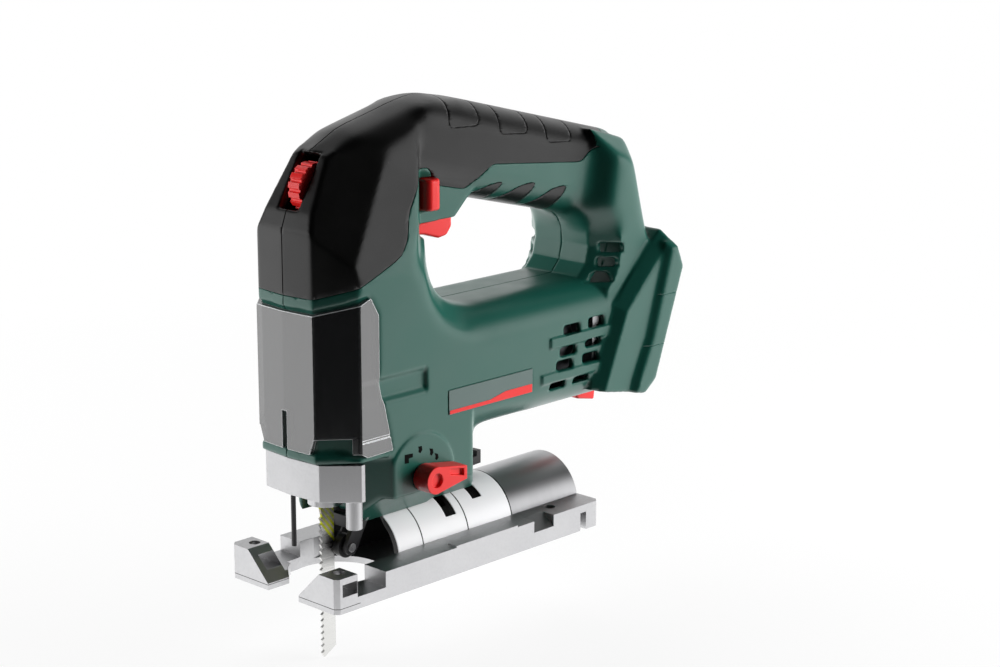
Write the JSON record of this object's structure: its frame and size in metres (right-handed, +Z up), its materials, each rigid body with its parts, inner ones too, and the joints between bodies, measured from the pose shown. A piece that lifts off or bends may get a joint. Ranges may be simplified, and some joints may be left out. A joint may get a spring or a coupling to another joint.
{
  "type": "cordless jigsaw",
  "caption": "D-handle cordless jigsaw without battery: moulded two-half housing, orbital plunger drive, saw blade, guide roller, swing-open front guard, clear chip shield and bevelling base.",
  "frame": {"origin": "centre of the sole, on the plane that slides on the work", "axes": "+X is the cutting direction, +Y the tool's left, +Z up"},
  "size_m": [0.2247, 0.0794, 0.2483],
  "materials": {
    "shell": "satin moulded, dark green",
    "grip": "matt soft overmould",
    "plate": "bare grey plate",
    "steel": "machined",
    "blade": "bare ground steel",
    "bearing": "polished",
    "cast": "die cast, satin",
    "arch": "bright satin",
    "iron": "laminated core",
    "black": "black moulded",
    "board": "coated board",
    "brass": "stamped",
    "red": "moulded red",
    "bow": "die cast, satin",
    "shield": "smoky clear plastic"
  },
  "bodies": {
    "housing": {"housing_left": "shell", "housing_right": "shell", "grip_left": "grip", "grip_right": "grip", "finger_grip_left": "grip", "finger_grip_right": "grip", "side_plate_left": "plate", "side_plate_right": "plate", "housing_screws": "steel", "gearbox_frame": "cast", "gear_axle": "steel", "front_bearing": "bearing", "rear_bearing": "bearing", "bearing_bracket": "cast", "stator": "iron", "switch_module": "black", "control_board": "board", "terminal_block": "black", "contact_blades": "brass", "guide_pins": "steel", "dial_spindle": "steel", "bevel_bolt": "steel", "bevel_washer": "steel", "fork_pin": "steel", "bow_pin": "steel"},
    "rotor": {"rotor_shaft": "steel", "rotor_core": "iron", "fan": "black", "pinion": "steel"},
    "crank": {"crank_gear": "steel", "crank_pin": "steel"},
    "guide": {"rod_guide": "cast"},
    "plunger": {"plunger_rod": "steel", "plunger_yoke": "steel", "blade_clamp": "steel", "saw_blade": "blade"},
    "sleeve": {"clamp_sleeve": "black"},
    "roller_lever": {"roller_fork": "steel", "roller_axle": "steel"},
    "roller": {"guide_roller": "steel"},
    "selector": {"selector_knob": "red", "selector_shaft": "black"},
    "dial": {"speed_dial": "red"},
    "trigger": {"trigger": "red"},
    "lock": {"lock_button": "red"},
    "bow": {"blade_lever": "bow", "wire_guard": "steel"},
    "shield": {"chip_shield": "shield"},
    "blower": {"blower_slide": "red"},
    "base": {"base_plate": "cast", "dust_arch": "arch"},
    "bevel_lever": {"bevel_lever": "black"}
  },
  "joints": [
    {"name": "motor_spin", "type": "hinge", "parent": "housing", "child": "rotor", "pos_m": [0, 0, 0.089], "axis": [1, 0, 0], "continuous": true},
    {"name": "crank_spin", "type": "hinge", "parent": "housing", "child": "crank", "pos_m": [0, 0, 0.116], "axis": [1, 0, 0], "continuous": true},
    {"name": "orbit_tilt", "type": "hinge", "parent": "housing", "child": "guide", "pos_m": [0.0585, 0, 0.15], "axis": [0, -1, 0], "range_deg": [0, 1]},
    {"name": "plunger_stroke", "type": "slide", "parent": "guide", "child": "plunger", "axis": [0, 0, 1], "range_m": [-0.013, 0.013]},
    {"name": "clamp_turn", "type": "hinge", "parent": "plunger", "child": "sleeve", "pos_m": [0.0585, 0, 0.047], "axis": [0, 0, 1], "range_deg": [0, 48]},
    {"name": "roller_swing", "type": "hinge", "parent": "housing", "child": "roller_lever", "pos_m": [0.04, 0, 0.036], "axis": [0, -1, 0], "range_deg": [0, 7.2]},
    {"name": "roller_spin", "type": "hinge", "parent": "roller_lever", "child": "roller", "pos_m": [0.051, 0, 0.016], "axis": [0, 1, 0], "continuous": true},
    {"name": "orbit_select", "type": "hinge", "parent": "housing", "child": "selector", "pos_m": [0.029, 0.0303, 0.049], "axis": [0, 1, 0], "range_deg": [0, 90]},
    {"name": "speed_turn", "type": "hinge", "parent": "housing", "child": "dial", "pos_m": [0.06425, 0, 0.17855], "axis": [0, 1, 0], "range_deg": [-150, 150]},
    {"name": "trigger_pull", "type": "slide", "parent": "housing", "child": "trigger", "axis": [0, 0, 1], "range_m": [0, 0.006], "stiffness_N_per_m": 1000, "springref_m": -0.004},
    {"name": "lock_push", "type": "slide", "parent": "housing", "child": "lock", "axis": [0, 1, 0], "range_m": [-0.004, 0.004]},
    {"name": "guard_swing", "type": "hinge", "parent": "housing", "child": "bow", "pos_m": [0.0643, 0.025, 0.05], "axis": [0, 0, 1], "range_deg": [0, 60], "stiffness_Nm_per_rad": 0.2, "springref_deg": -17.19},
    {"name": "shield_slide", "type": "slide", "parent": "housing", "child": "shield", "axis": [1, 0, 0], "range_m": [0, 0.005]},
    {"name": "blower_slide", "type": "slide", "parent": "housing", "child": "blower", "axis": [1, 0, 0], "range_m": [0, 0.004]},
    {"name": "base_bevel", "type": "hinge", "parent": "housing", "child": "base", "pos_m": [0, 0, 0.0086], "axis": [1, 0, 0], "range_deg": [-45, 45]},
    {"name": "bevel_clamp", "type": "hinge", "parent": "housing", "child": "bevel_lever", "pos_m": [-0.002, 0, 0.035], "axis": [0, 0, -1], "range_deg": [0, 24]}
  ],
  "couplings": [
    {"joint": "crank_spin", "follows": "motor_spin", "ratio": -0.28571},
    {"joint": "roller_swing", "follows": "orbit_tilt", "ratio": 7.2},
    {"joint": "clamp_turn", "follows": "guard_swing", "ratio": 0.8}
  ]
}
